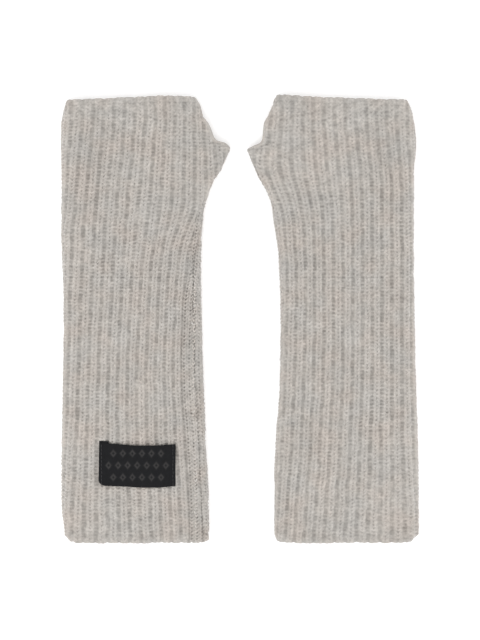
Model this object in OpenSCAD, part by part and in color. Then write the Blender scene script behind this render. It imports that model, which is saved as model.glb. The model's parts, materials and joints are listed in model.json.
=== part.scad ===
// Pair of long fingerless gloves in rib knit, laid flat side by side.
// Fingers point along +Y, thumbs face each other, and the surface they lie on is z = 0.
// Each glove is written once, at +X, and mirrored for the other hand.

/* [Glove] */
// Length of one glove from the finger opening to the cuff
glove_len = 314; // [300:1:330]
// Distance from the middle of the pair to a glove's outer side
outer_x = 124.5; // [121:0.5:128]
// Distance from the middle of the pair to the thumb side at the wrist
inner_x = 26; // [25:0.5:28]
// Height of the flattened tube as it lies
tube_h = 13; // [12:0.5:16]
// Thickness of the knitted wall
wall = 2.8; // [2.4:0.1:3]
// Length of the cast-on edge and of the bound-off edge
edge_len = 4; // [3:0.5:6]

/* [Thumb] */
// Where the wrist crease lies along the glove, from the middle
wrist_y = 58; // [54:1:60]
// Where the thumb gusset starts above the wrist
gusset_y = 71; // [68:1:74]
// Lower corner of the gusset's tip along the glove
tip_y = 117; // [114:1:120]
// Distance from the middle of the pair to the gusset's tip
tip_x = 6; // [5:0.5:8]
// Where the thumb hole ends below the finger opening
hole_top_y = 144; // [142:1:146]
// Width of the bound edge around the thumb hole
hole_edge = 3; // [2.5:0.5:4]

/* [Seams and label] */
// Width of the seam along the thumb side
seam_w = 2.5; // [2:0.1:3]
// How far the left glove's seam has rolled onto its face at the cuff
seam_roll = 7; // [4:0.5:9]
// Width of the woven label
label_w = 53.5; // [48:0.5:58]
// Height of the woven label
label_h = 32; // [28:0.5:35]
// Thickness of the woven label
label_t = 0.8; // [0.6:0.1:1]
// Centre of the label across the left glove, from the middle of the pair
label_x = 71.3; // [68:0.1:75]
// Centre of the label above the cuff
label_up = 56; // [50:0.5:62]
// Stitches in each of the two rows that hold the label
stitch_n = 9; // [6:1:11]

/* [Hidden] */

knit_tone = [0.69, 0.66, 0.62];
edge_tone = [0.64, 0.61, 0.57];
seam_tone = [0.58, 0.55, 0.51];
label_tone = [0.19, 0.19, 0.20];
stitch_tone = [0.30, 0.30, 0.31];

top_y = glove_len / 2;
nose_r = tube_h / 2;
bend_gap = 0.15;                     // half of the gap between two pieces that fold apart
thumb_x = inner_x + 1.05;            // plane where the gusset meets the hand
cut = 1;                             // overshoot of every cutting shape
side_steps = 9;                      // flats around each rounded side

// Sections of the tube: distance along the glove, thumb side, outer side
forearm_sections = [
  [-top_y - cut, inner_x - 0.5, outer_x - 1],
  [-top_y + 8, inner_x - 2, outer_x],
  [-top_y + 60, inner_x - 1.5, outer_x],
  [-top_y + 150, inner_x + 1.5, outer_x - 1.5],
  [wrist_y + cut, inner_x, outer_x - 2]
];
hand_sections = [
  [wrist_y - cut, inner_x, outer_x - 2],
  [gusset_y, inner_x - 1.5, outer_x - 1.7],
  [gusset_y + 0.5, inner_x - 8, outer_x - 1.7],
  [hole_top_y - 0.5, inner_x - 8, outer_x - 1.2],
  [hole_top_y, inner_x - 3, outer_x - 1.2],
  [top_y - edge_len, inner_x + 1, outer_x - 2.2],
  [top_y + cut, inner_x + 2, outer_x - 4]
];
gusset_sections = [
  [gusset_y - cut, inner_x - 1.5, outer_x],
  [gusset_y + 12.5, inner_x - 3.5, outer_x],
  [gusset_y + 25, inner_x - 8.5, outer_x],
  [gusset_y + 34, inner_x - 13.5, outer_x],
  [tip_y, tip_x, outer_x],
  [tip_y + 5.5, tip_x - 4, outer_x],
  [hole_top_y + cut, tip_x - 4, outer_x]
];
// Edge of the thumb hole, from the gusset's tip up to the upper seam
hole_line = [
  [tip_x, tip_y + 5.5],
  [tip_x + 10.5, tip_y + 9],
  [tip_x + 14.5, tip_y + 17],
  [inner_x - 3, hole_top_y]
];

// One cross-section: a flat-topped oval, its two rounded sides shifted in or out
function oval(s, inset) = let (r = nose_r - inset) [
  for (side = [1, -1])
    for (i = [0 : side_steps])
      let (a = side * 90 - 180 * i / side_steps,
           mid = side > 0 ? s[2] - nose_r : s[1] + nose_r)
        [mid + r * cos(a), s[0], nose_r + r * sin(a)]
];

// Solid that runs through a list of cross-sections
module through(sections, inset) {
  n = 2 * (side_steps + 1);
  m = len(sections);
  skin = [
    for (k = [0 : m - 2])
      for (i = [0 : n - 1])
        let (j = (i + 1) % n)
          [k * n + i, (k + 1) * n + i, (k + 1) * n + j, k * n + j]
  ];
  first = [for (i = [0 : n - 1]) i];
  last = [for (i = [n - 1 : -1 : 0]) (m - 1) * n + i];
  polyhedron([for (s = sections) each oval(s, inset)], concat([first, last], skin));
}

// Knitted wall of a stretch of glove, between two distances along it
module knit_wall(sections, from_y, to_y) {
  intersection() {
    difference() {
      through(sections, 0);
      through(sections, wall);
    }
    translate([-cut, from_y, -cut])
      cube([outer_x + 2 * cut, to_y - from_y, tube_h + 2 * cut]);
  }
}

// Upright solid over a plan outline, over the full height or the upper half
module over(plan, from_z = -1) {
  translate([0, 0, from_z])
    linear_extrude(tube_h + 2 * cut)
      polygon(plan);
}

// Plan of a seam that follows the thumb side; roll moves its cuff end onto the face
function seam_plan(sections, roll) = concat(
  [for (s = sections) [s[1] - (roll > 0 ? 0 : cut) + roll * seam_in(s[0]), s[0]]],
  [for (i = [len(sections) - 1 : -1 : 0])
    let (s = sections[i])
      [s[1] + seam_w + roll * (seam_in(s[0]) + 0.2), s[0]]]
);
function seam_in(y) = max(0, -y / top_y);

// Plan of the opening between the hand and the gusset
function root_plan(x) = [
  [-cut, gusset_y + (x < thumb_x ? bend_gap : 0)],
  [x, gusset_y + (x < thumb_x ? bend_gap : 0)],
  [x, hole_top_y - (x < thumb_x ? bend_gap : 0)],
  [-cut, hole_top_y - (x < thumb_x ? bend_gap : 0)]
];

// Everything on the open side of the thumb hole, moved in by a margin
module beyond_hole(margin) {
  over(concat(
    [[tip_x - 8, hole_top_y + cut], [tip_x - 8, tip_y - 3 - margin], [tip_x, tip_y - 3 - margin]],
    [for (p = hole_line) [p[0] + margin * 0.55, p[1] - margin * 0.7]],
    [[inner_x - 3 + margin * 0.55, hole_top_y + cut]]
  ));
}

module seam_strip(sections, roll) {
  over(seam_plan(sections, roll), roll > 0 ? nose_r : -cut);
}

module forearm_tube(roll) {
  color(knit_tone)
    difference() {
      knit_wall(forearm_sections, -top_y + edge_len, wrist_y - bend_gap);
      seam_strip(forearm_sections, roll);
    }
}

module forearm_seam(roll) {
  color(seam_tone)
    intersection() {
      knit_wall(forearm_sections, -top_y + edge_len, wrist_y - bend_gap);
      seam_strip(forearm_sections, roll);
    }
}

module cuff_edge() {
  color(edge_tone)
    knit_wall(forearm_sections, -top_y, -top_y + edge_len);
}

module hand_tube() {
  color(knit_tone)
    difference() {
      knit_wall(hand_sections, wrist_y + bend_gap, top_y - edge_len);
      over(root_plan(thumb_x + bend_gap));
      seam_strip(hand_sections, 0);
    }
}

module hand_seam() {
  color(seam_tone)
    intersection() {
      knit_wall(hand_sections, wrist_y + bend_gap, gusset_y);
      seam_strip(hand_sections, 0);
    }
}

module upper_seam() {
  color(seam_tone)
    intersection() {
      knit_wall(hand_sections, hole_top_y, top_y - edge_len);
      seam_strip(hand_sections, 0);
    }
}

module finger_edge() {
  color(edge_tone)
    knit_wall(hand_sections, top_y - edge_len, top_y);
}

module gusset_wall() {
  intersection() {
    knit_wall(gusset_sections, gusset_y, hole_top_y);
    over(root_plan(thumb_x - bend_gap));
  }
}

module thumb_gusset() {
  color(knit_tone)
    difference() {
      gusset_wall();
      beyond_hole(hole_edge);
      seam_strip(gusset_sections, 0);
    }
}

module thumb_edge() {
  color(edge_tone)
    difference() {
      intersection() {
        gusset_wall();
        beyond_hole(hole_edge);
      }
      beyond_hole(0);
    }
}

module thumb_seam() {
  color(seam_tone)
    difference() {
      intersection() {
        gusset_wall();
        seam_strip(gusset_sections, 0);
      }
      beyond_hole(hole_edge);
    }
}

module label() {
  color(label_tone)
    translate([label_x - label_w / 2, label_up - label_h / 2 - top_y, tube_h])
      cube([label_w, label_h, label_t]);
}

module label_stitches() {
  stitch_len = 2.2;
  stitch_d = 0.5;
  pitch = label_h / stitch_n;
  color(stitch_tone)
    for (end = [-1, 1])
      for (i = [0 : stitch_n - 1])
        translate([
          label_x + end * (label_w / 2 - 2.2) - stitch_d / 2,
          label_up - top_y + (i - (stitch_n - 1) / 2) * pitch - stitch_len / 2,
          tube_h + label_t
        ])
          cube([stitch_d, stitch_len, stitch_d]);
}

module left() {
  mirror([1, 0, 0])
    children();
}

left() forearm_tube(seam_roll);  // left_forearm_tube
left() cuff_edge();  // left_cuff_edge
left() forearm_seam(seam_roll);  // left_forearm_seam
left() hand_tube();  // left_hand_tube
left() finger_edge();  // left_finger_edge
left() hand_seam();  // left_hand_seam
left() upper_seam();  // left_upper_seam
left() thumb_gusset();  // left_thumb_gusset
left() thumb_edge();  // left_thumb_edge
left() thumb_seam();  // left_thumb_seam
left() label();  // left_label
left() label_stitches();  // left_label_stitches
forearm_tube(0);  // right_forearm_tube
cuff_edge();  // right_cuff_edge
forearm_seam(0);  // right_forearm_seam
hand_tube();  // right_hand_tube
finger_edge();  // right_finger_edge
hand_seam();  // right_hand_seam
upper_seam();  // right_upper_seam
thumb_gusset();  // right_thumb_gusset
thumb_edge();  // right_thumb_edge
thumb_seam();  // right_thumb_seam
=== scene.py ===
import json
import math

import bpy
import numpy as np
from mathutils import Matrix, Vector


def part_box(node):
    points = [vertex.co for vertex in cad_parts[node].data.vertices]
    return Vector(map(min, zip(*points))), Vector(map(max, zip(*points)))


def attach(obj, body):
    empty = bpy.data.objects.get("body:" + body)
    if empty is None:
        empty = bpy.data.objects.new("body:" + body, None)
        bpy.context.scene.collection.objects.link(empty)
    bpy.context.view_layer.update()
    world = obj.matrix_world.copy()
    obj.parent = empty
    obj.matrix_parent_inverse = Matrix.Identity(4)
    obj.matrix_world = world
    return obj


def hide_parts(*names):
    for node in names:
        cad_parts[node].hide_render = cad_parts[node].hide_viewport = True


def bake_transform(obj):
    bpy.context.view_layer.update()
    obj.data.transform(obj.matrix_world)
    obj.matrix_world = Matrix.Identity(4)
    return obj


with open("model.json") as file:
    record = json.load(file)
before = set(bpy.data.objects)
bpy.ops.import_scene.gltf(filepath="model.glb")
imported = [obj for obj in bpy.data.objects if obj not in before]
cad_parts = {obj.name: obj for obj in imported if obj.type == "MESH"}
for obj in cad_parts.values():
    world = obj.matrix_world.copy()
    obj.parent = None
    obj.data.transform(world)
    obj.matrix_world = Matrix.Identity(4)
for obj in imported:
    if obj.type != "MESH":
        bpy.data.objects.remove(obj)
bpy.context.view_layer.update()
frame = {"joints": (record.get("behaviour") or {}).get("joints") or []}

# ---------------------------------------------------------------------------
# Driving sizes. Lengths are millimetres here and become metres in to_metres().
# u is the distance from the middle of the pair, y runs towards the fingers.
# ---------------------------------------------------------------------------
MM = 0.001
JOINTS = {j["name"]: j for j in frame["joints"]}
TOP_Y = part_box("left_finger_edge")[1].y / MM
EDGE_LEN = TOP_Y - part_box("left_finger_edge")[0].y / MM
TUBE_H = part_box("right_cuff_edge")[1].z / MM
WRIST_Y = JOINTS["right_wrist_bend"]["pos_m"][1] / MM
SPLIT_Y = 30.0            # forearm and hand knits meet here, below the wrist's bend
GUSSET_Y = 70.0           # where the gusset starts to widen

ROW = 2.56                # height of one row of stitches
WALL = 2.6                # thickness of the knitted wall
LIFT = 0.7                # the stitches stand this far out of the mean surface
NOSE = TUBE_H / 2 - LIFT  # radius of the tube's folded sides
TIP_NOSE = 3.9            # radius of the fold at the gusset's tip

FLARE_END = 112           # where the fold has narrowed to the gusset's
SAG = 1.9                 # how far the upper face sinks between its sides
SAG_AT_ENDS = 1.2         # how much further it sinks at the open ends

FACE_COLUMNS = 264        # mesh columns across one face of a tube
INSIDE_COLUMNS = 60       # the same on the inside, which is hardly seen
THUMB_COLUMNS = 64        # mesh columns across one face of the thumb piece
THUMB_INSIDE_COLUMNS = 14
SLOPE_STEP = 0.5          # distance over which the upper face's slope is measured
CLOSED = 1e-6             # a slit narrower than this is closed
LEAST_WIDTH = 0.15        # the thumb piece starts and ends where it is this wide
ROW_STEPS = 6             # mesh rows per row of stitches
QUARTER = math.pi / 2
TURN = 2 * math.pi

# One rib: x runs from one groove (0) over the knit wale (0.5) to the next groove (1).
WALE = 0.30               # half-width of the knit wale
LEG_RISE = 0.9            # rows that a stitch's leg climbs from the wale's middle to its side
BUMP_LAG = 0.375          # the purl bumps lie this part of a row above the stitches' feet
BAND_WALE = 3.7           # width of one wale of the plain strip
LINK_DEPTH = 1.7          # how deep the linked seam pulls its dotted line
LINK_WIDTH = 0.85         # and how wide
LABEL_PRESS = 0.6         # how far the label presses the ribs down


def smooth(a, b, x):
    """0 before a, 1 after b, and a soft step between them."""
    t = np.clip((x - a) / (b - a), 0, 1)
    return t * t * (3 - 2 * t)


def through(points, x):
    """A soft curve through (place, value) points."""
    p = np.array(sorted(points), float)
    rise = np.diff(p[:, 1]) / np.diff(p[:, 0])
    turning = rise[:-1] * rise[1:] <= 0
    total = np.where(turning, 1, rise[:-1] + rise[1:])
    slope = np.concatenate([rise[:1], np.where(turning, 0, 2 * rise[:-1] * rise[1:] / total), rise[-1:]])
    x = np.clip(x, p[0, 0], p[-1, 0])
    i = np.clip(np.searchsorted(p[:, 0], x) - 1, 0, len(p) - 2)
    h = p[i + 1, 0] - p[i, 0]
    t = (x - p[i, 0]) / h
    return (
        (2 * t**3 - 3 * t**2 + 1) * p[i, 1]
        + (t**3 - 2 * t**2 + t) * h * slope[i]
        + (3 * t**2 - 2 * t**3) * p[i + 1, 1]
        + (t**3 - t**2) * h * slope[i + 1]
    )


NOISE_SIZE = 128
NOISE = np.random.default_rng(7).uniform(-1, 1, (8, NOISE_SIZE, NOISE_SIZE))


def drift(x, y, layer):
    """Soft random waves between -1 and 1, one wave per unit."""
    table = NOISE[layer]
    x0, y0 = np.floor(x).astype(int), np.floor(y).astype(int)
    fx, fy = x - x0, y - y0
    fx, fy = fx * fx * (3 - 2 * fx), fy * fy * (3 - 2 * fy)
    x0, x1 = x0 % NOISE_SIZE, (x0 + 1) % NOISE_SIZE
    y0, y1 = y0 % NOISE_SIZE, (y0 + 1) % NOISE_SIZE
    low = table[x0, y0] * (1 - fx) + table[x1, y0] * fx
    high = table[x0, y1] * (1 - fx) + table[x1, y1] * fx
    return low * (1 - fy) + high * fy


def chance(i, j, layer):
    """One random number between -1 and 1 for each whole-number cell."""
    return NOISE[layer][i.astype(int) % NOISE_SIZE, j.astype(int) % NOISE_SIZE]


# ---------------------------------------------------------------------------
# The shape of a glove
# ---------------------------------------------------------------------------
class Glove:
    """One glove's outline and the surface that its stitches stand on."""

    def __init__(self, name, sign, seed, outline, edge, plain, pits, depth, rib_at, ribs):
        self.name, self.sign, self.seed = name, sign, seed
        self.thumb_side, self.outer_side, self.gusset, self.hole = outline
        self.edge, self.plain, self.pits, self.depth = edge, plain, pits, depth
        self.rib_at, self.ribs = rib_at, ribs
        self.tip_y, self.kink_y = self.hole[0][0], self.hole[-1][0]
        self.crease_u = (self.gusset_start(), self.hole[-1][1])

    def gusset_start(self):
        """The thumb-side fold where the gusset starts."""
        return float(through(self.gusset, np.array([GUSSET_Y]))[0])

    def crease(self, y):
        """The straight line where the thumb folds, from the gusset's start to the top of the thumb hole."""
        return np.interp(y, (GUSSET_Y, self.kink_y), self.crease_u)

    def rows(self, y):
        """Everything that changes along the glove, for distances y.

        fold and outer are the folded sides, and nose is the thumb side's radius. The rest are arc lengths
        from the fold: start to the thumb hole's lip, root to the gusset's root, split to the thumb piece's
        edge, and half to the outer fold.
        """
        y = np.asarray(y, float)
        main = through(self.thumb_side, y)
        open_ = smooth(self.tip_y - 1.5, self.tip_y + 3, y)
        open_ = open_ * (1 - smooth(self.kink_y - 5, self.kink_y + 1, y))
        flare = smooth(GUSSET_Y + 4, FLARE_END, y)
        flare = flare * (1 - smooth(self.kink_y - 8, self.kink_y + 2, y))
        nose = NOSE - (NOSE - TIP_NOSE) * flare
        edge = np.where(y < GUSSET_Y, main, through(self.gusset, y))
        edge = np.where(y > self.tip_y, through(self.hole, y), edge)
        edge = np.where(y > self.kink_y, main, edge)
        fold = edge - nose * (1 - np.cos(open_ * QUARTER))
        start = open_ * QUARTER * nose
        root = np.clip(main - fold - (QUARTER - 1) * (NOSE - nose), 0, None)
        root = root * (y > GUSSET_Y) * (y < self.kink_y + 1)
        inward = np.clip(self.crease(y) - fold, 0, None) * (y > GUSSET_Y) * (y < self.kink_y)
        on_nose = nose * np.arccos(np.clip(1 - inward / nose, 0, 1))
        split = np.where(inward < nose, on_nose, inward + (QUARTER - 1) * nose)
        outer = through(self.outer_side, y)
        half = QUARTER * nose + (outer - fold - nose - NOSE) + QUARTER * NOSE
        return {"fold": fold, "nose": nose, "outer": outer, "half": half,
                "start": start, "root": root, "split": split}

    def top(self, u, y, r):
        """Height of the upper face's mean surface."""
        inner = r["fold"] + r["nose"]
        full = r["nose"] + (NOSE - r["nose"]) * smooth(0, 22, u - inner)
        across = np.clip((u - inner) / (r["outer"] - NOSE - inner), 0, 1)
        ends = smooth(TOP_Y - 60, TOP_Y, np.abs(y))
        sag = (SAG + SAG_AT_ENDS * ends) * (4 * across * (1 - across)) ** 0.8
        waves = 0.6 * drift(u / 26 + self.seed, y / 34, 0) + 0.2 * drift(u / 11, y / 15 + self.seed, 1)
        return LIFT + 2 * full - sag + waves * (4 * across * (1 - across)) ** 0.5

    def surface(self, e, y, upper, r=None):
        """Points and outward normals at arc length e from the thumb-side fold, over the top or under."""
        r = r or self.rows(y)
        side = 1.0 if upper else -1.0
        arc_in, arc_out = QUARTER * r["nose"], QUARTER * NOSE
        flat_u = r["fold"] + r["nose"] + (e - arc_in)
        a_in = np.clip(e / r["nose"], 0, QUARTER)
        a_out = np.clip((r["half"] - e) / NOSE, 0, QUARTER)
        u = np.where(e < arc_in, r["fold"] + r["nose"] * (1 - np.cos(a_in)), flat_u)
        u = np.where(e > r["half"] - arc_out, r["outer"] - NOSE * (1 - np.cos(a_out)), u)
        step = SLOPE_STEP
        high = self.top(u, y, r)
        slope = (self.top(u + step, y, r) - high) / step
        z_flat = high if upper else LIFT + 0 * u
        slope = slope if upper else 0 * u
        z_in = LIFT + r["nose"] * (1 + side * np.sin(a_in))
        z_out = LIFT + NOSE * (1 + side * np.sin(a_out))
        inner, outer = e < arc_in, e > r["half"] - arc_out
        z = np.where(inner, z_in, np.where(outer, z_out, z_flat))
        nu = np.where(inner, -np.cos(a_in), np.where(outer, np.cos(a_out), -slope))
        nz = np.where(inner, side * np.sin(a_in), np.where(outer, side * np.sin(a_out), side))
        size = np.sqrt(nu * nu + nz * nz)
        y = y + 0 * u
        return np.stack([u, y, z], -1), np.stack([nu / size, 0 * u, nz / size], -1)

    def laid(self, points):
        """The glove's small departures from straight: the tilted finger edge and the curved cuff."""
        u, y, z = points[..., 0], points[..., 1], points[..., 2]
        tilt = through(self.edge, u) * smooth(90, TOP_Y, y)
        curl = (0.7 + 1.3 * np.clip(np.abs(u - 73) / 50, 0, 1) ** 4) * smooth(-100, -TOP_Y, y)
        wander = 0.35 * drift(u / 14, self.seed + 0 * u, 2) * smooth(TOP_Y - 25, TOP_Y, np.abs(y))
        return np.stack([u, y + tilt + curl + wander, z], -1)


def rib_place(glove, e, y, upper, r):
    """Where a point lies in the knit: ribs counted from the outer fold, and rows of stitches."""

    def lines(across):
        total = 0
        for k, (place, curve) in enumerate(zip(glove.rib_at, glove.ribs)):
            others = [p for i, p in enumerate(glove.rib_at) if i != k]
            weight = np.prod([(across - p) / (place - p) for p in others], axis=0)
            total = total + weight * through(curve, y)
        return total

    across = e + r["fold"] + r["nose"] - QUARTER * r["nose"]
    fold = r["outer"] - NOSE + QUARTER * NOSE
    phase = lines(across)
    if not upper:
        phase = 2 * lines(fold) - phase
    wobble = 0.05 * drift(across / 17 + glove.seed, y / 13, 3)
    wobble = wobble + 0.03 * drift(across / 6, y / 5 + glove.seed, 1)
    row = y / ROW + 0.25 * drift(across / 9, y / 12 + glove.seed, 4)
    row = row + 0.16 * drift(across / 4.5, y / 16, 5)
    return phase + wobble, row


def wave(x):
    return 0.5 + 0.5 * np.cos(TURN * x)


def rib_relief(phase, row, seed):
    """Height of ribbed stitches: V-shaped legs on the knit wale, bumps and pits in the purl groove."""
    x = phase - np.floor(phase)
    a = np.abs(x - 0.5)
    climb = row - LEG_RISE * a / WALE
    which = np.floor(phase)
    lively = 1 + 0.30 * chance(which * 2 + (x > 0.5), np.round(climb), 5)
    leg = wave(climb) ** 0.8 * lively
    rounding = 1 - ((a - 0.17) / 0.17) ** 2
    wale = 0.85 + 0.26 * np.clip(rounding, -1, 1) + (0.85 - 0.5 * smooth(0.0, 0.28, a)) * (leg - 0.5)
    wale = wale - 0.28 * np.exp(-((a / 0.055) ** 2)) * (1.2 - leg)
    turned = row - BUMP_LAG
    bump = wave(turned) * (1 + 0.5 * chance(which + 31, np.round(turned) + 7, 5))
    clear = 0.75 + 0.45 * drift(which * 0.7 + seed, row / 7, 3)
    groove = -0.02 + 0.72 * (bump - 0.5) * clear
    raised = 1 - smooth(0.22, 0.40, a)
    return groove * (1 - raised) + wale * raised


def plain_relief(across, row):
    """Height of plain stitches: close wales of small V's."""
    q = across / BAND_WALE
    x = q - np.floor(q)
    a = np.abs(x - 0.5) * 2
    climb = row - 0.55 * a
    uneven = chance(np.floor(q * 2), np.round(climb), 5)
    leg = wave(climb) * (1 + 0.5 * uneven)
    pit = np.exp(-((a / 0.25) ** 2)) * (1 - leg) * (1 + 0.6 * chance(np.floor(q) + 5, np.round(row), 2))
    return 0.68 + 0.75 * (leg - 0.5) * (1 - 0.35 * a) - 0.5 * a**3 - 0.95 * pit


def relief(glove, e, y, upper, r):
    """How far the stitches stand out of the mean surface, and a crest value from 0 in the pits to 1 on the
    crests, which sets the yarn's painted shade.
    """
    phase, row = rib_place(glove, e, y, upper, r)
    depth = through(glove.depth, y)
    height = 0.35 + (rib_relief(phase, row, glove.seed) - 0.35) * depth
    band = plain_band(glove, y, upper)
    beyond = e - r["root"] - band
    there = smooth(2.0, 6.0, band)
    flat = (1 - smooth(-0.7, 0.7, beyond)) * there
    height = height * (1 - flat) + plain_relief(beyond, row) * flat
    height = height - 0.4 * np.exp(-((beyond / 0.75) ** 2)) * there
    height = height - link_pits(glove, e - r["root"], y, row, upper)
    if upper and glove is GLOVES[0]:
        height = height - LABEL_PRESS * under_label(e + r["fold"] + (1 - QUARTER) * r["nose"], y)
    lip = (e - r["start"]) / WALL
    at_lip = np.clip(1 - lip, 0, 1) ** 2 * smooth(0, 2, r["start"])
    height = height + 0.12 * drift(e / 5, y / 6 + glove.seed, 6)
    uneven = drift(e / 2.3 + glove.seed, y / 2.5, 2)
    height = height + 0.14 * uneven
    height = height * (1 - at_lip) + 0.55 * at_lip
    # Painted shade: where the ribs are shallow near the open ends, crest is lowered so the yarn's colour is
    # darker there, standing in for shading.
    crest = (height + 0.5) / 1.7 - 0.4 * (1 - depth) + 0.2 * uneven
    return height - LIFT, np.clip(crest, 0, 1)


def link_pits(glove, e, y, row, upper):
    """Depth of the dotted line that the linked seam pulls into the upper face."""
    line = through(glove.pits, y) if upper else 0 * y
    strength = smooth(1.5, 5.0, line) * (0.75 + 0.35 * drift(y / 9, 0 * y, 6))
    dots = 0.35 + 0.65 * wave(row) * (1 + 0.4 * chance(0 * row, np.round(row), 6))
    aside = e - line - 0.3 * drift(y / 5, 0 * y, 7)
    return LINK_DEPTH * strength * dots * np.exp(-((aside / LINK_WIDTH) ** 2))


def under_label(u, y):
    """1 where the sewn label presses the ribs down, and 0 away from it."""
    right = smooth(LABEL_IN - 0.5, LABEL_IN + 1.5, u)
    left = 1 - smooth(LABEL_OUT - 1.0, LABEL_OUT + 0.8, u)
    bottom = smooth(LABEL_BOTTOM - 0.5, LABEL_BOTTOM + 1.5, y)
    top = 1 - smooth(LABEL_TOP - 1.0, LABEL_TOP + 0.8, y)
    return right * left * (bottom * top)


def plain_band(glove, y, upper):
    """Width of the unribbed strip beside the thumb-side fold, on the upper face."""
    return through(glove.plain, y) if upper else 0 * y


# Outlines as (y, u) points: the thumb-side fold, the outer fold, the gusset's fold and the thumb hole's lip.
THUMB_LEFT = [(-157, 22.4), (-152, 22.0), (-130, 22.3), (-84, 24.5), (-14, 27.0), (41, 27.9), (75, 26.2),
              (142, 26.2), (151.5, 27.9), (157, 31.0)]
OUTER_LEFT = [(-157, 119.6), (-152, 123.4), (-126, 125.1), (-60, 124.6), (0, 123.9), (60, 125.1),
              (137, 125.6), (152, 123.9), (157, 122.2)]
GUSSET_LEFT = [(66, 26.2), (72, 26.1), (84, 23.9), (97, 19.1), (107.5, 12.8), (114, 10.2), (121.6, 6.9)]
HOLE_LEFT = [(121.6, 6.9), (123.9, 11.1), (125.2, 16.7), (128, 19.5), (135, 22.3), (144, 26.4)]
THUMB_RIGHT = [(-157, 26.2), (-153, 24.6), (-112, 24.5), (-84, 25.7), (-45, 28.3), (0, 29.0), (45, 27.4),
               (75, 23.3), (100, 20.0), (126, 18.6), (140, 18.9), (150, 22.6), (157, 24.9)]
OUTER_RIGHT = [(-157, 121.2), (-152, 125.5), (-90, 124.8), (-42, 123.3), (40, 121.8), (98, 122.0),
               (126, 123.7), (147, 121.7), (157, 117.8)]
GUSSET_RIGHT = [(66, 24.7), (82, 22.4), (91, 18.8), (103, 11.9), (112.4, 8.2), (119.6, 5.0)]
HOLE_RIGHT = [(119.6, 5.0), (121.9, 11.0), (123.3, 15.0), (127, 17.2), (137, 18.3), (144, 20.0)]
# How far the finger edge stands beyond straight, as (u, distance)
EDGE_LEFT = [(20, -0.6), (60, 0.0), (98, -1.5), (126, -2.8)]
EDGE_RIGHT = [(20, 0.1), (31, 0.5), (56, -0.3), (90, -1.8), (121, -2.7)]
# How many ribs lie between the middle of the pair and each place in RIB_AT, as (y, count)
RIB_AT_LEFT = (118.5, 76.5, 43.0)
RIBS_LEFT = [
    [(140, 9.0), (84, 9.5), (56, 9.9), (-28, 10.2), (-154, 11.0)],
    [(140, 14.6), (28, 15.9), (-50, 16.4), (-154, 16.1)],
    [(140, 19.4), (84, 19.6), (42, 21.0), (-28, 21.6), (-154, 20.7)],
]
RIB_AT_RIGHT = (106.5, 73.0, 39.5)
RIBS_RIGHT = [
    [(140, 10.5), (84, 11.0), (-154, 11.0)],
    [(140, 15.1), (56, 15.9), (-14, 15.9), (-154, 15.1)],
    [(140, 19.6), (112, 19.6), (70, 20.7), (28, 21.0), (-56, 20.7), (-154, 19.8)],
]
# Width of the unribbed strip beside the thumb-side fold, and the linked seam's place in it
PLAIN_LEFT = [(-157, 16.9), (-85, 17.0), (-50, 18.2), (10, 16.0), (40, 10.8), (71, 8.0), (95, 0.0),
              (157, 0.0)]
PLAIN_RIGHT = [(-157, 0.0), (-30, 0.0), (10, 4.5), (50, 4.5), (80, 0.0), (157, 0.0)]
PITS_LEFT = [(-157, 6.8), (-112, 8.4), (-84, 7.0), (-32, 8.7), (38, 7.8), (70, 1.5), (85, 0.0), (157, 0.0)]
PITS_RIGHT = [(-157, 0.0), (157, 0.0)]
# How deep the ribs are, against their depth at the middle; where they are shallower the yarn also gets
# painted shade
DEPTH_LEFT = [(-157, 0.6), (-148, 0.85), (-130, 1.0), (118, 1.0), (138, 0.85), (150, 0.55), (157, 0.45)]
DEPTH_RIGHT = [(-157, 0.6), (-148, 0.8), (-80, 1.0), (80, 0.95), (118, 0.75), (138, 0.7), (157, 0.4)]

GLOVES = [
    Glove("left", -1, 3.3, (THUMB_LEFT, OUTER_LEFT, GUSSET_LEFT, HOLE_LEFT), EDGE_LEFT, PLAIN_LEFT,
          PITS_LEFT, DEPTH_LEFT, RIB_AT_LEFT, RIBS_LEFT),
    Glove("right", 1, 11.7, (THUMB_RIGHT, OUTER_RIGHT, GUSSET_RIGHT, HOLE_RIGHT), EDGE_RIGHT, PLAIN_RIGHT,
          PITS_RIGHT, DEPTH_RIGHT, RIB_AT_RIGHT, RIBS_RIGHT),
]


# ---------------------------------------------------------------------------
# Meshes
# ---------------------------------------------------------------------------
def to_metres(glove, points):
    p = glove.laid(points) * MM
    return p * np.array([glove.sign, 1, 1])


def grid_faces(index, closed=False):
    """Quads over a grid of vertex numbers, rows by columns."""
    if closed:
        index = np.concatenate([index, index[:, :1]], 1)
    a, b = index[:-1, :-1], index[:-1, 1:]
    c, d = index[1:, 1:], index[1:, :-1]
    return np.stack([a, b, c, d], -1).reshape(-1, 4)


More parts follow.
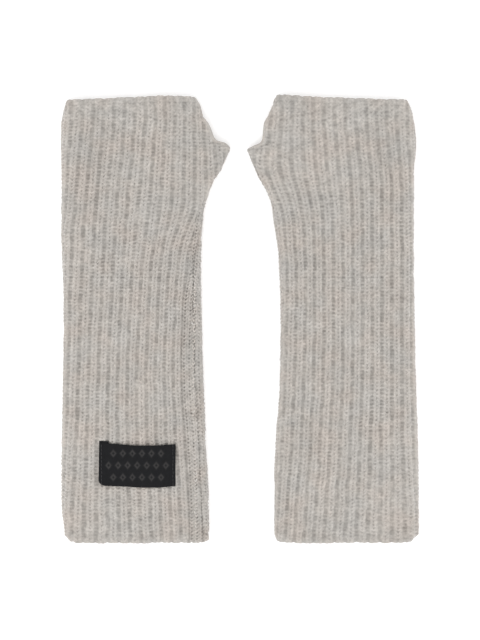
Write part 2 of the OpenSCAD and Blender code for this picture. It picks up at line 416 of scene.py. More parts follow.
def build(name, parts, material, flip=False):
    """One mesh object from parts (points in metres, faces, uv, crest). faces is one array or several."""
    points, faces, uvs, crests, at = [], [], [], [], 0
    for p, several, uv, crest in parts:
        points.append(p.reshape(-1, 3))
        several = several if isinstance(several, list) else [several]
        faces += [f + at for f in several if len(f)]
        uvs.append(uv.reshape(-1, 2))
        crests.append(np.broadcast_to(crest, p.shape[:-1]).reshape(-1))
        at += points[-1].shape[0]
    if flip:
        faces = [f[:, ::-1] for f in faces]
    sizes = np.concatenate([np.full(len(f), f.shape[1], np.int32) for f in faces])
    used, corners = np.unique(np.concatenate([f.ravel() for f in faces]), return_inverse=True)
    corners = corners.ravel()
    points, uvs, crests = (np.concatenate(values)[used] for values in (points, uvs, crests))
    mesh = bpy.data.meshes.new(name)
    mesh.vertices.add(len(points))
    mesh.vertices.foreach_set("co", points.astype(np.float32).ravel())
    mesh.loops.add(len(corners))
    mesh.loops.foreach_set("vertex_index", corners.astype(np.int32))
    mesh.polygons.add(len(sizes))
    mesh.polygons.foreach_set("loop_start", (np.cumsum(sizes) - sizes).astype(np.int32))
    mesh.update(calc_edges=True)
    layer = mesh.uv_layers.new(name="knit")
    layer.data.foreach_set("uv", uvs[corners].astype(np.float32).ravel())
    crest = mesh.attributes.new("crest", "FLOAT", "POINT")
    crest.data.foreach_set("value", crests.astype(np.float32))
    mesh.polygons.foreach_set("use_smooth", np.ones(len(sizes), bool))
    mesh.validate()
    mesh.materials.append(material)
    obj = bpy.data.objects.new(name, mesh)
    bpy.context.scene.collection.objects.link(obj)
    return obj


def half_wrap(start, end, count):
    """Arc lengths for one face, from start to end, one row of columns per row of the grid."""
    t = np.linspace(0, 1, count + 1)[None, :]
    return start[:, None] * (1 - t) + end[:, None] * t


def knit_face(glove, y, e, upper, inset=0.0):
    """A grid of stitches on one face. inset moves it to the inside of the wall."""
    r = {k: v[:, None] for k, v in glove.rows(y).items()}
    yy = y[:, None]
    base, normal = glove.surface(e, yy, upper, r)
    phase, row = rib_place(glove, e, yy + 0 * e, upper, r)
    if inset:
        push = -inset - 0.36 * np.cos(TURN * phase)
        # Inside the wall crest is a middling 0.35, so the inner faces get some of the yarn's painted shade.
        crest = 0.35 + 0 * e
    else:
        push, crest = relief(glove, e, yy + 0 * e, upper, r)
    points = base + normal * push[..., None]
    return points, np.stack([phase, row], -1), crest


def knit_shell(glove, y, start, end, columns, closed, inside):
    """Upper and lower face as one grid, joined at the far side, and at the near side where closed."""
    inset = WALL if inside else 0.0
    e = half_wrap(start, end, columns)
    up, up_uv, up_crest = knit_face(glove, y, e, True, inset)
    low, low_uv, low_crest = knit_face(glove, y, e, False, inset)
    mean = (up[:, -1] + low[:, -1]) / 2
    up[:, -1] = mean
    near = (up[:, 0] + low[:, 0]) / 2
    up[closed, 0] = near[closed]
    points = np.concatenate([up, low[:, -2::-1]], 1)
    uv = np.concatenate([up_uv, low_uv[:, -2::-1]], 1)
    crest = np.concatenate([up_crest, low_crest[:, -2::-1]], 1)
    index = np.arange(points.shape[0] * points.shape[1]).reshape(points.shape[:2])
    index[closed, -1] = index[closed, 0]
    return to_metres(glove, points), index, uv, crest


def strip(fine, coarse):
    """Triangles that join two runs of vertex numbers, from a fine grid's edge to a coarse one's."""
    match = np.round(np.arange(len(fine)) * (len(coarse) - 1) / (len(fine) - 1)).astype(int)
    near = np.stack([fine[:-1], fine[1:], coarse[match[:-1]]], -1)
    step = match[1:] > match[:-1]
    far = np.stack([fine[1:], coarse[match[1:]], coarse[match[:-1]]], -1)[step]
    return np.concatenate([near, far])


def opening(index, closed):
    """The upper and the lower edge of the slit between a grid's first and last columns."""
    rows = np.flatnonzero(~closed)
    rows = np.arange(max(rows[0] - 1, 0), min(rows[-1] + 2, len(closed)))
    return index[rows, 0], index[rows, -1]


def rows_between(low, high, steps):
    count = max(2, int(round((high - low) / ROW * steps)))
    return np.linspace(low, high, count + 1)


def tube(glove, name, low, high, material):
    """The glove's tube between two distances: a closed wall with an outside, an inside and cut edges."""
    sides, count = [], 0
    for steps, columns, inside in ((ROW_STEPS, FACE_COLUMNS, False), (1, INSIDE_COLUMNS, True)):
        y = rows_between(low, high, steps)
        r = glove.rows(y)
        start = np.maximum(r["split"], r["start"])
        closed = start < CLOSED
        points, index, uv, crest = knit_shell(glove, y, start, r["half"], columns, closed, inside)
        sides.append((points, index + count, uv, crest, closed))
        count += index.size
    (_, outer, _, _, outer_closed), (_, inner, _, _, inner_closed) = sides
    edges = [strip(outer[0], inner[0])[:, ::-1], strip(outer[-1], inner[-1])]
    if not outer_closed.all():
        (upper, lower), (in_upper, in_lower) = opening(outer, outer_closed), opening(inner, inner_closed)
        edges += [strip(upper, in_upper), strip(lower, in_lower)[:, ::-1]]
    faces = [grid_faces(outer), grid_faces(inner)[:, ::-1], np.concatenate(edges)]
    points, uv, crest = (np.concatenate([side[k].reshape(count_of) for side in sides])
                         for k, count_of in ((0, (-1, 3)), (2, (-1, 2)), (3, -1)))
    return build(name, [(points, faces, uv, crest)], material, glove.sign < 0)


def gusset(glove, name, material):
    """The thumb piece: what lies beyond the thumb's fold line, from the gusset's start to the hole's top."""
    scan = np.linspace(GUSSET_Y, glove.kink_y, 800)
    r = glove.rows(scan)
    wide = scan[(r["split"] - r["start"]) > LEAST_WIDTH]
    low, high = wide[0], wide[-1]
    sides, total = [], 0
    for steps, columns, inside in ((ROW_STEPS, THUMB_COLUMNS, False), (1, THUMB_INSIDE_COLUMNS, True)):
        y = rows_between(low, high, steps)
        r = glove.rows(y)
        closed = r["start"] < CLOSED
        inset = WALL if inside else 0.0
        e = half_wrap(np.maximum(r["split"], r["start"]), r["start"], columns)
        up, up_uv, up_crest = knit_face(glove, y, e, True, inset)
        low_side, low_uv, low_crest = knit_face(glove, y, e, False, inset)
        mean = (up[:, -1] + low_side[:, -1]) / 2
        up[closed, -1] = mean[closed]
        low_side[closed, -1] = mean[closed]
        points = np.concatenate([up, low_side[:, ::-1]], 1)
        uv = np.concatenate([up_uv, low_uv[:, ::-1]], 1)
        crest = np.concatenate([up_crest, low_crest[:, ::-1]], 1)
        count = columns + 1
        index = np.arange(points.shape[0] * points.shape[1]).reshape(points.shape[:2])
        index[closed, count] = index[closed, count - 1]
        tip = np.flatnonzero(closed)[-1]
        sides.append((to_metres(glove, points), index + total, uv, crest, count, tip))
        total += index.size
    loops, faces = [], []
    for _, index, _, _, count, tip in sides:
        upper, lower = index[:, :count], index[:, count:]
        faces.append(np.concatenate([grid_faces(upper), grid_faces(lower)]))
        loops.append([np.append(upper[0], lower[0, 1:]), lower[:, -1], lower[-1, ::-1],
                      lower[tip:, 0][::-1], upper[tip:, -1], upper[-1, ::-1], upper[:, 0][::-1]])
    faces[0] = faces[0][:, ::-1]
    edges = [strip(fine, coarse) for fine, coarse in zip(*loops)]
    faces.append(np.concatenate(edges))
    points, uv, crest = (np.concatenate([side[k].reshape(count_of) for side in sides])
                         for k, count_of in ((0, (-1, 3)), (2, (-1, 2)), (3, -1)))
    return build(name, [(points, faces, uv, crest)], material, glove.sign < 0)


def end_rim(glove, name, outward, material):
    """The cast-on or bound-off edge: the last row turns over into the wall, with a chain of stitches."""
    end = outward * TOP_Y
    inner = outward * (TOP_Y - EDGE_LEN)
    radius = WALL / 2
    turn = end - outward * radius
    columns = FACE_COLUMNS
    ahead = np.linspace(inner, turn, 9)
    angle = np.linspace(0, math.pi, 11)[1:-1]
    y = np.concatenate([ahead, turn + outward * radius * np.sin(angle), ahead[::-1]])
    drop = np.concatenate([0 * ahead, -radius * (1 - np.cos(angle)), -2 * radius + 0 * ahead])[:, None]
    lean = np.concatenate([0 * ahead, angle, math.pi + 0 * ahead])[:, None]
    r = {k: v[:, None] for k, v in glove.rows(y).items()}
    t = np.linspace(0, 1, columns + 1)[None, :]
    faces = []
    for upper in (True, False):
        e = r["root"] * (1 - t) + r["half"] * t
        yy = y[:, None] + 0 * e
        base, normal = glove.surface(e, yy, upper, r)
        push, crest = relief(glove, e, yy, upper, r)
        phase, row = rib_place(glove, e, yy, upper, r)
        link = np.abs(np.sin(TURN * phase))
        turning = np.sin(lean)
        outside = np.cos(lean / 2) ** 2
        out = push * outside + 0.25 * (link - 0.5) * turning
        points = base + normal * (drop + out)[..., None]
        swell = 0.35 * wave(phase - 0.5) + 0.3 * link + 0.25 * drift(e / 3 + glove.seed, yy / 9, 5)
        points[..., 1] += outward * turning * swell
        # Where the edge turns over, crest eases to 0.55, which gives the turned yarn a little painted shade.
        faces.append((points, np.stack([phase, row], -1), crest * outside + 0.55 * (1 - outside)))
    (up, up_uv, up_crest), (low, low_uv, low_crest) = faces
    up[:, -1] = (up[:, -1] + low[:, -1]) / 2
    up[:, 0] = (up[:, 0] + low[:, 0]) / 2
    points = np.concatenate([up, low[:, -2:0:-1]], 1)
    uv = np.concatenate([up_uv, low_uv[:, -2:0:-1]], 1)
    crest = np.concatenate([up_crest, low_crest[:, -2:0:-1]], 1)
    index = np.arange(points.shape[0] * points.shape[1]).reshape(points.shape[:2])
    quads = grid_faces(np.concatenate([index, index[:1]]), closed=True)
    if outward < 0:
        quads = quads[:, ::-1]
    return build(name, [(to_metres(glove, points), quads, uv, crest)], material, glove.sign < 0)


def sweep(path, radius_of, sides, closed):
    """A tube round a path (points in metres). radius_of(step, angle) gives its radius there."""
    n = len(path)
    if closed:
        tangent = np.roll(path, -1, 0) - np.roll(path, 1, 0)
    else:
        tangent = np.gradient(path, axis=0)
    tangent /= np.linalg.norm(tangent, axis=1)[:, None]
    up = np.array([0.0, 0.0, 1.0])
    a = up - tangent * (tangent @ up)[:, None]
    weak = np.linalg.norm(a, axis=1) < 0.2
    a[weak] = np.cross(tangent[weak], [1.0, 0.0, 0.0])
    frame_a = [a[0] / np.linalg.norm(a[0])]
    for i in range(1, n):
        v = frame_a[-1] - tangent[i] * (tangent[i] @ frame_a[-1])
        frame_a.append(v / np.linalg.norm(v))
    frame_a = np.array(frame_a)
    frame_b = np.cross(tangent, frame_a)
    angle = np.arange(sides) * 2 * math.pi / sides
    step = np.arange(n)[:, None]
    radius = radius_of(step, angle[None, :])
    around = angle[None, :, None]
    ring = frame_a[:, None] * np.cos(around) + frame_b[:, None] * np.sin(around)
    points = path[:, None] + ring * radius[..., None]
    index = np.arange(n * sides).reshape(n, sides)
    if closed:
        index = np.concatenate([index, index[:1]], 0)
    quads = grid_faces(index, closed=True)
    uv = np.stack([angle[None, :] / math.pi + 0 * step, step * 0.25 + 0 * angle[None, :]], -1)
    return points, quads, uv


def even(path, spacing, closed=False):
    """The same path with evenly spaced points."""
    if closed:
        path = np.concatenate([path, path[:1]])
    length = np.concatenate([[0], np.cumsum(np.linalg.norm(np.diff(path, axis=0), axis=1))])
    count = max(8, int(round(length[-1] / spacing)))
    at = np.linspace(0, length[-1], count + 1)
    out = np.stack([np.interp(at, length, path[:, k]) for k in range(3)], -1)
    return out[:-1] if closed else out


def hole_rim(glove, name, material):
    """The bound edge round the thumb hole: over the upper lip and back along the lower one."""
    scan = np.linspace(glove.tip_y - 3, glove.kink_y + 3, 1200)
    r = glove.rows(scan)
    y = scan[r["start"] > 1e-3]
    y = np.linspace(y[0], y[-1], 160)
    r = glove.rows(y)
    lips = []
    for upper in (True, False):
        base, normal = glove.surface(r["start"], y, upper, r)
        lips.append(base - normal * (WALL / 2 + 0.15))
    loop = np.concatenate([lips[0], lips[1][::-1]])
    path = even(to_metres(glove, loop), 0.3 * MM, closed=True)
    pitch = 5.5

    def radius_of(step, angle):
        twist = np.abs(np.sin(math.pi * step / pitch + angle * 0.5))
        return (1.2 + 0.28 * twist) * MM

    points, quads, uv = sweep(path, radius_of, 14, True)
    return build(name, [(points, quads, uv, np.array(0.6))], material)


def bead(centre, axis_a, axis_b, axis_c, around=8, along=6):
    """A stitch of yarn: an ellipsoid with half-axes given as vectors, in metres."""
    theta = np.linspace(0, math.pi, along + 1)[1:-1]
    phi = np.arange(around) * 2 * math.pi / around
    ring = (
        axis_a[None, None] * np.cos(theta)[:, None, None]
        + axis_b[None, None] * (np.sin(theta)[:, None] * np.cos(phi))[..., None]
        + axis_c[None, None] * (np.sin(theta)[:, None] * np.sin(phi))[..., None]
    )
    poles = np.stack([axis_a, -axis_a])
    points = np.concatenate([centre + ring.reshape(-1, 3), centre + poles])
    index = np.arange((along - 1) * around).reshape(along - 1, around)
    quads = grid_faces(index, closed=True)[:, ::-1]
    n = (along - 1) * around
    caps = []
    for k in range(0, around, 2):
        a, b, c = k, (k + 1) % around, (k + 2) % around
        caps.append([n, index[0, a], index[0, b], index[0, c]])
        caps.append([n + 1, index[-1, a], index[-1, b], index[-1, c]][::-1])
    return points, np.concatenate([quads, np.array(caps)])


def stitches(name, places, material):
    """Many yarn stitches as one mesh. places: (centre, three half-axes) in metres."""
    parts = []
    for k, (centre, a, b, c) in enumerate(places):
        if np.dot(np.cross(a, b), c) < 0:
            b = -b
        p, q = bead(centre, a, b, c)
        uv = np.stack([p[:, 0] / MM * 0.14 + k, p[:, 1] / MM * 0.4 + k], -1)
        parts.append((p, q, uv, np.array(0.8)))
    return build(name, parts, material)


def on_glove(glove, e, y, proud):
    """A point at signed arc length e (the underside is below zero), standing proud of the mean surface."""
    y = np.atleast_1d(np.asarray(y, float))
    e = np.broadcast_to(np.asarray(e, float), y.shape)
    r = glove.rows(y)
    up, up_n = glove.surface(np.abs(e), y, True, r)
    low, low_n = glove.surface(np.abs(e), y, False, r)
    over = (e >= 0)[:, None]
    base, normal = np.where(over, up, low), np.where(over, up_n, low_n)
    points = to_metres(glove, base + normal * np.reshape(proud, (-1, 1)))
    return points, normal * np.array([glove.sign, 1, 1])


def seam(glove, name, low, high, across, material):
    """A linked seam: a pair of slanted stitches for every row, sunk in the knit but for the loose ones."""
    places = []
    y = np.arange(low + ROW / 2, high - ROW / 4, ROW)
    for k, (yk, ek) in enumerate(zip(y, across(y))):
        loose = smooth(0.35, 0.8, NOISE[6, k % NOISE_SIZE, 3]) * (ek > 6)
        wander = 0.4 * NOISE[1, k % NOISE_SIZE, 4] * (ek > 6)
        for side in (-1, 1):
            lean = 0.5 + 0.35 * NOISE[5, k % NOISE_SIZE, 9 + side]
            reach = 0.85 + 0.3 * NOISE[4, k % NOISE_SIZE, 5 + side]
            ends_e = np.array([ek + wander + side * 0.05, ek + wander + side * reach])
            ends_y = np.array([yk - ROW * 0.1, yk + ROW * lean])
            ends, normals = on_glove(glove, ends_e, ends_y, np.array([-0.25, -0.15]) + 0.65 * loose)
            along = (ends[1] - ends[0]) * 0.6
            wide = np.cross(along, normals[1])
            wide = wide / np.linalg.norm(wide) * (0.4 + 0.2 * loose) * MM
            places.append((ends.mean(0), along, wide, normals[1] * (0.38 + 0.12 * loose) * MM))
    return stitches(name, places, material)


# ---------------------------------------------------------------------------
# The woven label
# ---------------------------------------------------------------------------
LABEL_LOW, LABEL_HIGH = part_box("left_label")
LABEL_IN, LABEL_OUT = 0.6 - LABEL_HIGH.x / MM, 0.9 - LABEL_LOW.x / MM
LABEL_BOTTOM, LABEL_TOP = LABEL_LOW.y / MM, LABEL_HIGH.y / MM
LABEL_T = 0.55            # thickness of the label
HEM = 6.9                 # width of the turned-under end
TOP_LINE = [(44.0, -1.8), (58, -2.8), (72, -3.0), (90, -1.6), (98.5, -1.2)]
BOTTOM_LINE = [(44.0, 0.8), (58, -0.6), (68, -0.7), (80, 0.1), (94, 0.7), (97, 1.5), (98.9, 3.6)]


def label_height(glove, u, y, depth):
    """The label lies on the ribs' crests, pulled down at its sewn ends and curling a little at its edges."""
    y = np.asarray(y, float)
    r = {k: np.reshape(v, y.shape) for k, v in glove.rows(y.ravel()).items()}
    phase, _ = rib_place(glove, u - r["fold"] + (QUARTER - 1) * r["nose"], y, True, r)
    s = (u - LABEL_IN) / (LABEL_OUT - LABEL_IN)
    t = (y - LABEL_BOTTOM) / (LABEL_TOP - LABEL_BOTTOM)
    sewn = np.exp(-((np.minimum(s, 1 - s) * (LABEL_OUT - LABEL_IN) - 1.8) / 1.6) ** 2)
    curl = np.clip(np.abs(t - 0.5) * 2, 0, 1) ** 4 * (1 - sewn)
    ripple = 0.16 * np.cos(TURN * (phase - 0.5)) + 0.25 * drift(u / 13, y / 17, 2)
    return glove.top(u, y, r) + 1.3 - 0.3 * sewn + 0.3 * curl + ripple - depth


def label_sheet(glove, low_u, high_u, low_line, high_line, columns, rows, depth, pattern):
    """One closed layer of the label: a top, a bottom and the turned edges between them."""
    s = np.linspace(0, 1, columns + 1)[None, :]
    t = np.linspace(0, 1, rows + 1)[:, None]
    u = low_u + (high_u - low_u) * s + 0 * t
    y = low_line(u) * (1 - t) + high_line(u) * t
    u = u + 0.5 * (0.5 - t) * (s > 0.5)
    z = label_height(glove, u, y, depth)
    mark = pattern(u, y)
    edge = np.minimum(np.minimum(s, 1 - s) * columns, np.minimum(t, 1 - t) * rows)
    round_off = 0.16 * np.clip(1 - edge / 1.5, 0, 1)
    top = np.stack([u, y, z + 0.07 * mark - round_off], -1)
    under = np.stack([u, y, z - LABEL_T + round_off], -1)
    uv = np.stack([u, y], -1)
    index = np.arange(top.shape[0] * top.shape[1]).reshape(top.shape[:2])
    down = index + index.size
    ring = np.concatenate([index[0, :-1], index[:-1, -1], index[-1, :0:-1], index[:0:-1, 0]])
    ring = np.append(ring, ring[0])
    side = grid_faces(np.stack([ring + index.size, ring]))
    quads = np.concatenate([grid_faces(index), grid_faces(down)[:, ::-1], side])
    points = np.concatenate([top.reshape(-1, 3), under.reshape(-1, 3)])
    return (to_metres(glove, points), quads, np.concatenate([uv.reshape(-1, 2)] * 2),
            np.concatenate([mark.ravel(), 0 * mark.ravel()]))


def lozenges(u, y):
    """A plain tone-on-tone figure: three rows of small lozenges."""
    step_u, step_y = 6.7, 8.4
    half_u, half_y = 2.5, 3.1
    v = (y - (LABEL_BOTTOM + LABEL_TOP) / 2 + 0.9) / step_y
    shift = 0.5 * (np.round(v) % 2)
    h = (u - (LABEL_IN + LABEL_OUT) / 2) / step_u + shift
    far = np.abs(h - np.round(h)) * step_u / half_u + np.abs(v - np.round(v)) * step_y / half_y
    centre = (np.round(h) - shift) * step_u
    inside = (np.abs(v) < 1.5) * (np.abs(centre) < 0.4 * (LABEL_OUT - LABEL_IN))
    return inside * np.exp(-(((far - 0.62) / 0.3) ** 2))


def plain(u, y):
    """No figure at all."""
    return 0 * u


def label(glove, name, material):
    def top_line(u):
        return LABEL_TOP + through(TOP_LINE, u)

    def bottom_line(u):
        return LABEL_BOTTOM + through(BOTTOM_LINE, u)

    def hem_top(u):
        return LABEL_TOP + 0.35 - 0.04 * (LABEL_OUT - u)

    def hem_bottom(u):
        return LABEL_BOTTOM + 4.2 + 0 * u

    main = label_sheet(glove, LABEL_IN, LABEL_OUT - 0.1, bottom_line, top_line, 134, 80, 0, lozenges)
    hem = label_sheet(glove, LABEL_OUT - HEM, LABEL_OUT + 0.05, hem_bottom, hem_top, 18, 76, LABEL_T, plain)
    return build(name, [main, hem], material, True)


def thread(points, radius, sides=6):
    """A round thread through points, in metres."""
    path = even(np.array(points), radius * 1.2)
    path = np.concatenate([path[:1], path, path[-1:] + (path[-1:] - path[-2:-1]) * 0.1])
    path[0] += (path[1] - path[2]) * 0.1

    def radius_of(step, angle):
        ends = (step == 0) | (step == len(path) - 1)
        return radius * np.where(ends, 0.04, 1.0) + 0 * angle

    p, q, uv = sweep(path, radius_of, sides, False)
    return p.reshape(-1, 3), q, uv.reshape(-1, 2), np.array(0.5)


def label_stitching(glove, name, material):
    """Plain sewing along both short ends."""
    parts = []
    count = 11
    for end_u, slant in ((LABEL_IN + 1.8, 0.0), (LABEL_OUT - 1.9, 0.1)):
        y = np.linspace(LABEL_BOTTOM + 2.2, LABEL_TOP - 3.4, count)
        pitch = y[1] - y[0]
        for k, yk in enumerate(y):
            yy = yk + np.linspace(-0.36, 0.36, 5) * pitch
            uu = end_u + slant * np.linspace(-1, 1, 5) + 0.12 * NOISE[3, k, 7] + 0.06 * NOISE[2, k, 5]
            arch = 0.34 * (1 - np.linspace(-1, 1, 5) ** 2) - 0.12
            z = label_height(glove, uu, yy, 0) + arch
            parts.append(thread(to_metres(glove, np.stack([uu, yy, z], -1)), 0.26 * MM))
    return build(name, parts, material)


# ---------------------------------------------------------------------------
# Materials
# ---------------------------------------------------------------------------
def new_material(name):
    material = bpy.data.materials.new(name)
    material.use_nodes = True
    nodes, links = material.node_tree.nodes, material.node_tree.links
    nodes.clear()
    out = nodes.new("ShaderNodeOutputMaterial")
    shader = nodes.new("ShaderNodeBsdfPrincipled")
    links.new(shader.outputs["BSDF"], out.inputs["Surface"])
    return material, nodes, links, shader


def noise_node(nodes, links, coords, scale, detail=2.0, rough=0.5):
    node = nodes.new("ShaderNodeTexNoise")
    node.inputs["Scale"].default_value = scale
    node.inputs["Detail"].default_value = detail
    node.inputs["Roughness"].default_value = rough
    links.new(coords, node.inputs["Vector"])
    return node.outputs["Fac"]


def ramp_node(nodes, links, value, stops):
    node = nodes.new("ShaderNodeValToRGB")
    ramp = node.color_ramp
    while len(ramp.elements) < len(stops):
        ramp.elements.new(0.5)
    for element, (at, colour) in zip(ramp.elements, stops):
        element.position = at
        element.color = (*colour, 1)
    links.new(value, node.inputs["Fac"])
    return node.outputs["Color"]


def mix_node(nodes, links, kind, amount, a, b):
    node = nodes.new("ShaderNodeMix")
    node.data_type = "RGBA"
    node.blend_type = kind
    if isinstance(amount, float):
        node.inputs["Factor"].default_value = amount
    else:
        links.new(amount, node.inputs["Factor"])
    links.new(a, node.inputs["A"])
    links.new(b, node.inputs["B"])
    return node.outputs["Result"]


def math_node(nodes, links, kind, *values):
    node = nodes.new("ShaderNodeMath")
    node.operation = kind
    for socket, value in zip(node.inputs, values):
        if isinstance(value, (int, float)):
            socket.default_value = value
        else:
            links.new(value, socket)
    return node.outputs[0]


def grey(v):
    return (v, v, v)


def shades(low, low_share, high, high_share):
    """A ramp's two stops: one colour darkened and one lightened."""
    return [(0.0, tuple(c * low_share for c in low)), (1.0, tuple(c * high_share for c in high))]


def yarn_material(name, base, dark, depth=0.3):
    """Heathered yarn: fine fibres of mixed greys and beiges, softer patches, and painted shade between the
    stitches: the crest attribute darkens the colour towards the pits, by up to depth.
    """
    material, nodes, links, shader = new_material(name)
    uv = nodes.new("ShaderNodeUVMap")
    uv.uv_map = "knit"
    place = uv.outputs["UV"]
    stretch = nodes.new("ShaderNodeMapping")
    stretch.inputs["Scale"].default_value = (7.0, ROW, 1.0)
    links.new(place, stretch.inputs["Vector"])
    flat = stretch.outputs["Vector"]
    light = tuple(min(1, c * 1.22) for c in base)
    warm = (base[0] * 1.05, base[1] * 0.985, base[2] * 0.955)
    cool = (base[0] * 0.965, base[1] * 1.0, base[2] * 1.03)
    fibres = noise_node(nodes, links, flat, 1.7, 4.0, 0.65)
    tone = ramp_node(nodes, links, fibres, [(0.3, dark), (0.5, base), (0.72, light)])
    patches = noise_node(nodes, links, flat, 0.045, 2.0)
    cast = ramp_node(nodes, links, patches, [(0.35, cool), (0.5, base), (0.66, warm)])
    colour = mix_node(nodes, links, "MIX", 0.55, cast, tone)
    for scale, spread in ((0.55, 0.17), (0.16, 0.10), (0.03, 0.05)):
        stitch = noise_node(nodes, links, flat, scale, 1.5)
        shade = ramp_node(nodes, links, stitch, [(0.25, grey(1 - spread)), (0.75, grey(1 + spread))])
        colour = mix_node(nodes, links, "MULTIPLY", 1.0, colour, shade)
    # Painted shade: the colour darkens where crest is low, in the pits and grooves between the stitches,
    # standing in for the shade that falls there.
    crest = nodes.new("ShaderNodeAttribute")
    crest.attribute_name = "crest"
    low = ramp_node(nodes, links, crest.outputs["Fac"], [(0.0, grey(1 - depth)), (0.65, grey(1.0))])
    colour = mix_node(nodes, links, "MULTIPLY", 1.0, colour, low)
    links.new(colour, shader.inputs["Base Color"])
    rough = noise_node(nodes, links, flat, 2.5, 2.0)
    links.new(math_node(nodes, links, "MULTIPLY_ADD", rough, 0.2, 0.78), shader.inputs["Roughness"])
    bump = nodes.new("ShaderNodeBump")
    bump.inputs["Strength"].default_value = 0.5
    bump.inputs["Distance"].default_value = 0.00025
    fuzz = noise_node(nodes, links, flat, 4.0, 5.0, 0.7)
    links.new(fuzz, bump.inputs["Height"])
    links.new(bump.outputs["Normal"], shader.inputs["Normal"])
    shader.inputs["Specular IOR Level"].default_value = 0.12
    shader.inputs["Sheen Weight"].default_value = 0.9
    shader.inputs["Sheen Roughness"].default_value = 0.35
    shader.inputs["Sheen Tint"].default_value = (0.95, 0.95, 0.97, 1)
    return material


def wave_node(nodes, links, coords, direction, scale):
    node = nodes.new("ShaderNodeTexWave")
    node.wave_type = "BANDS"
    node.bands_direction = direction
    node.inputs["Scale"].default_value = scale
    node.inputs["Distortion"].default_value = 0.15
    links.new(coords, node.inputs["Vector"])
    return node.outputs["Fac"]


def woven_material(name, base, mark):
    """Dark woven tape: fine warp and weft, a tone-on-tone figure and a little fluff."""
    material, nodes, links, shader = new_material(name)
    uv = nodes.new("ShaderNodeUVMap")
    uv.uv_map = "knit"
    place = uv.outputs["UV"]
    warp = wave_node(nodes, links, place, "X", 0.85)
    weft = wave_node(nodes, links, place, "Y", 0.6)
    weave = math_node(nodes, links, "MULTIPLY", warp, weft)
    figure = nodes.new("ShaderNodeAttribute")
    figure.attribute_name = "crest"
    ground = ramp_node(nodes, links, weave, shades(base, 0.55, base, 1.3))
    drawn = ramp_node(nodes, links, warp, shades(mark, 0.75, mark, 1.0))
    colour = mix_node(nodes, links, "MIX", figure.outputs["Fac"], ground, drawn)
    fluff = noise_node(nodes, links, place, 0.35, 3.0, 0.6)
    shade = ramp_node(nodes, links, fluff, [(0.3, grey(0.78)), (0.7, grey(1.25))])
    colour = mix_node(nodes, links, "MULTIPLY", 1.0, colour, shade)
    links.new(colour, shader.inputs["Base Color"])
    rough = ramp_node(nodes, links, fluff, [(0.2, grey(0.52)), (0.8, grey(0.72))])
    links.new(rough, shader.inputs["Roughness"])
    bump = nodes.new("ShaderNodeBump")
    bump.inputs["Strength"].default_value = 0.6
    bump.inputs["Distance"].default_value = 0.00012
    links.new(weave, bump.inputs["Height"])
    links.new(bump.outputs["Normal"], shader.inputs["Normal"])
    shader.inputs["Specular IOR Level"].default_value = 0.12
    shader.inputs["Sheen Weight"].default_value = 0.05
    return material


def thread_material(name, base):
    """Polyester sewing thread: twisted strands with a soft shine."""
    material, nodes, links, shader = new_material(name)
    uv = nodes.new("ShaderNodeUVMap")
    uv.uv_map = "knit"
    twist = wave_node(nodes, links, uv.outputs["UV"], "DIAGONAL", 2.2)
    colour = ramp_node(nodes, links, twist, shades(base, 0.6, base, 1.5))
    links.new(colour, shader.inputs["Base Color"])
    bump = nodes.new("ShaderNodeBump")
    bump.inputs["Strength"].default_value = 0.5
    bump.inputs["Distance"].default_value = 0.0001
    links.new(twist, bump.inputs["Height"])
    links.new(bump.outputs["Normal"], shader.inputs["Normal"])
    rough = noise_node(nodes, links, uv.outputs["UV"], 3.0)
    polish = ramp_node(nodes, links, rough, [(0.0, grey(0.4)), (1.0, grey(0.6))])
    links.new(polish, shader.inputs["Roughness"])
    return material


KNIT_BASE = (0.505, 0.474, 0.440)
KNIT_DARK = (0.35, 0.325, 0.300)
knit = yarn_material("knit", KNIT_BASE, KNIT_DARK)
knit_edge = yarn_material("knit_edge", KNIT_BASE, KNIT_DARK, 0.2)
# The seam's stitches are painted 15% lighter than the knit, a painted highlight for the light that their
# raised, loose loops catch.
seam_yarn = yarn_material("seam_yarn", tuple(c * 1.15 for c in KNIT_BASE), KNIT_BASE, 0.1)


label_weave = woven_material("label_weave", (0.0115, 0.0118, 0.0135), (0.046, 0.044, 0.044))
label_thread = thread_material("label_thread", (0.020, 0.020, 0.022))


# ---------------------------------------------------------------------------
# The pieces
# ---------------------------------------------------------------------------
def bend_wrist(obj):
    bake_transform(obj)


def bend_thumb(obj, glove):
    """Bakes the piece's transform into its mesh. The crease that the thumb would fold over, starting where
    its piece is joined to the hand's, is looked up at the fold joint but not used.
    """
    y = JOINTS["right_thumb_fold"]["pos_m"][1]
    root = float(glove.crease(y / MM))
    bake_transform(obj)


for glove in GLOVES:
    side = glove.name + "_"
    low_y, high_y = -TOP_Y + EDGE_LEN, TOP_Y - EDGE_LEN
    forearm = tube(glove, side + "forearm_knit", low_y, SPLIT_Y, knit)
    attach(forearm, side + "forearm")
    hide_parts(side + "forearm_tube")
    hand = tube(glove, side + "hand_knit", SPLIT_Y, high_y, knit)
    bend_wrist(hand)
    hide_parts(side + "hand_tube")
    wedge = gusset(glove, side + "thumb_gusset_knit", knit)
    bend_thumb(wedge, glove)
    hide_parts(side + "thumb_gusset")
    cuff = end_rim(glove, side + "cuff_rim", -1, knit_edge)
    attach(cuff, side + "forearm")
    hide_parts(side + "cuff_edge")
    finger = end_rim(glove, side + "finger_rim", 1, knit_edge)
    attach(finger, side + "hand")
    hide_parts(side + "finger_edge")
    hole = hole_rim(glove, side + "thumb_rim", knit_edge)
    bend_thumb(hole, glove)
    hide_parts(side + "thumb_edge")

left, right = GLOVES
SEAM_ROLL = [(-157, 12.0), (-100, 11.5), (-32, 9.5), (35, 6.0), (55, 2.0), (75, 0.0), (157, 0.0)]


def rolled(y):
    return through(SEAM_ROLL, y)


def on_fold(y):
    return 0 * y


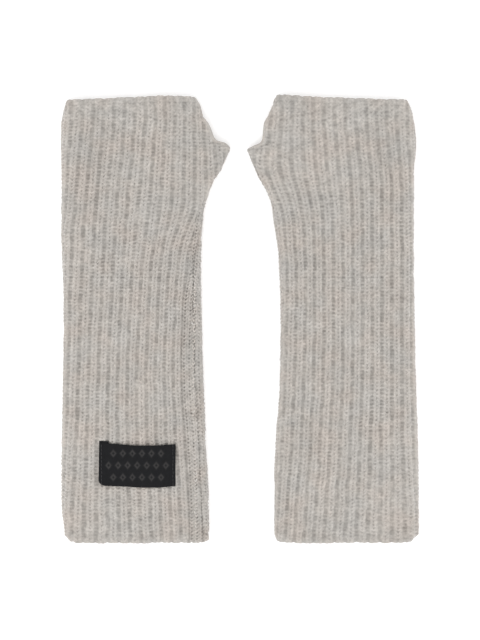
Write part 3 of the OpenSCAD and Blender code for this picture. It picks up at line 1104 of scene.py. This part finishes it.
for glove, place in ((left, rolled), (right, on_fold)):
    side = glove.name + "_"
    forearm_y = -TOP_Y + EDGE_LEN, WRIST_Y
    forearm_seam = seam(glove, side + "forearm_seam_yarn", *forearm_y, place, seam_yarn)
    bend_wrist(forearm_seam)
    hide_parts(side + "forearm_seam")
    hand_seam = seam(glove, side + "hand_seam_yarn", WRIST_Y, GUSSET_Y, on_fold, seam_yarn)
    bend_wrist(hand_seam)
    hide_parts(side + "hand_seam")
    thumb_seam = seam(glove, side + "thumb_seam_yarn", GUSSET_Y, glove.tip_y - 1, on_fold, seam_yarn)
    bend_thumb(thumb_seam, glove)
    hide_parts(side + "thumb_seam")
    upper_y = glove.kink_y + 2, TOP_Y - EDGE_LEN + 1
    upper_seam = seam(glove, side + "upper_seam_yarn", *upper_y, on_fold, seam_yarn)
    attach(upper_seam, side + "hand")
    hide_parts(side + "upper_seam")

tape = label(left, "left_label_weave", label_weave)
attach(tape, "left_forearm")
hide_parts("left_label")
sewing = label_stitching(left, "left_label_sewing", label_thread)
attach(sewing, "left_forearm")
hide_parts("left_label_stitches")


# ---------------------------------------------------------------------------
# Stage, light and camera
# ---------------------------------------------------------------------------
def stage_material():
    material, nodes, links, shader = new_material("floor")
    coords = nodes.new("ShaderNodeTexCoord")
    tone = ramp_node(nodes, links, noise_node(nodes, links, coords.outputs["Object"], 3.0),
                     [(0.3, grey(0.93)), (0.7, grey(0.95))])
    links.new(tone, shader.inputs["Base Color"])
    shader.inputs["Roughness"].default_value = 0.9
    shader.inputs["Specular IOR Level"].default_value = 0.05
    shader.inputs["Emission Color"].default_value = (1, 1, 1, 1)
    shader.inputs["Emission Strength"].default_value = 0.25
    return material


def add_floor():
    mesh = bpy.data.meshes.new("floor")
    size, z = 4.0, -0.0003
    corners = [(-size, -size, z), (size, -size, z), (size, size, z), (-size, size, z)]
    mesh.from_pydata(corners, [], [(0, 1, 2, 3)])
    mesh.materials.append(stage_material())
    floor = bpy.data.objects.new("floor", mesh)
    bpy.context.scene.collection.objects.link(floor)


def add_area(name, place, size, energy):
    """A round soft box aimed at the middle of the pair."""
    lamp = bpy.data.lights.new(name, "AREA")
    lamp.shape = "DISK"
    lamp.size = size
    lamp.energy = energy
    obj = bpy.data.objects.new(name, lamp)
    obj.location = place
    obj.rotation_euler = (-Vector(place)).to_track_quat("-Z", "Y").to_euler()
    bpy.context.scene.collection.objects.link(obj)


def add_world(strength):
    world = bpy.data.worlds.new("studio")
    world.use_nodes = True
    world.node_tree.nodes["Background"].inputs["Color"].default_value = (1, 1, 1, 1)
    world.node_tree.nodes["Background"].inputs["Strength"].default_value = strength
    bpy.context.scene.world = world


def add_camera():
    lens, sensor = 100.0, 36.0
    frame_height = 0.448
    camera = bpy.data.cameras.new("camera")
    camera.lens, camera.sensor_width = lens, sensor
    camera.clip_start, camera.clip_end = 0.1, 10
    obj = bpy.data.objects.new("camera", camera)
    obj.location = (0, 0, frame_height * lens / sensor + TUBE_H * MM)
    bpy.context.scene.collection.objects.link(obj)
    bpy.context.scene.camera = obj


add_floor()
add_world(0.90)
add_area("key", (-0.3, -0.8, 1.6), 1.0, 7.0)
add_area("left_fill", (-1.3, 0.0, 0.3), 0.9, 3.0)
add_area("right_fill", (1.3, 0.0, 0.3), 0.9, 3.5)
add_camera()
bpy.context.scene.view_settings.view_transform = "Standard"
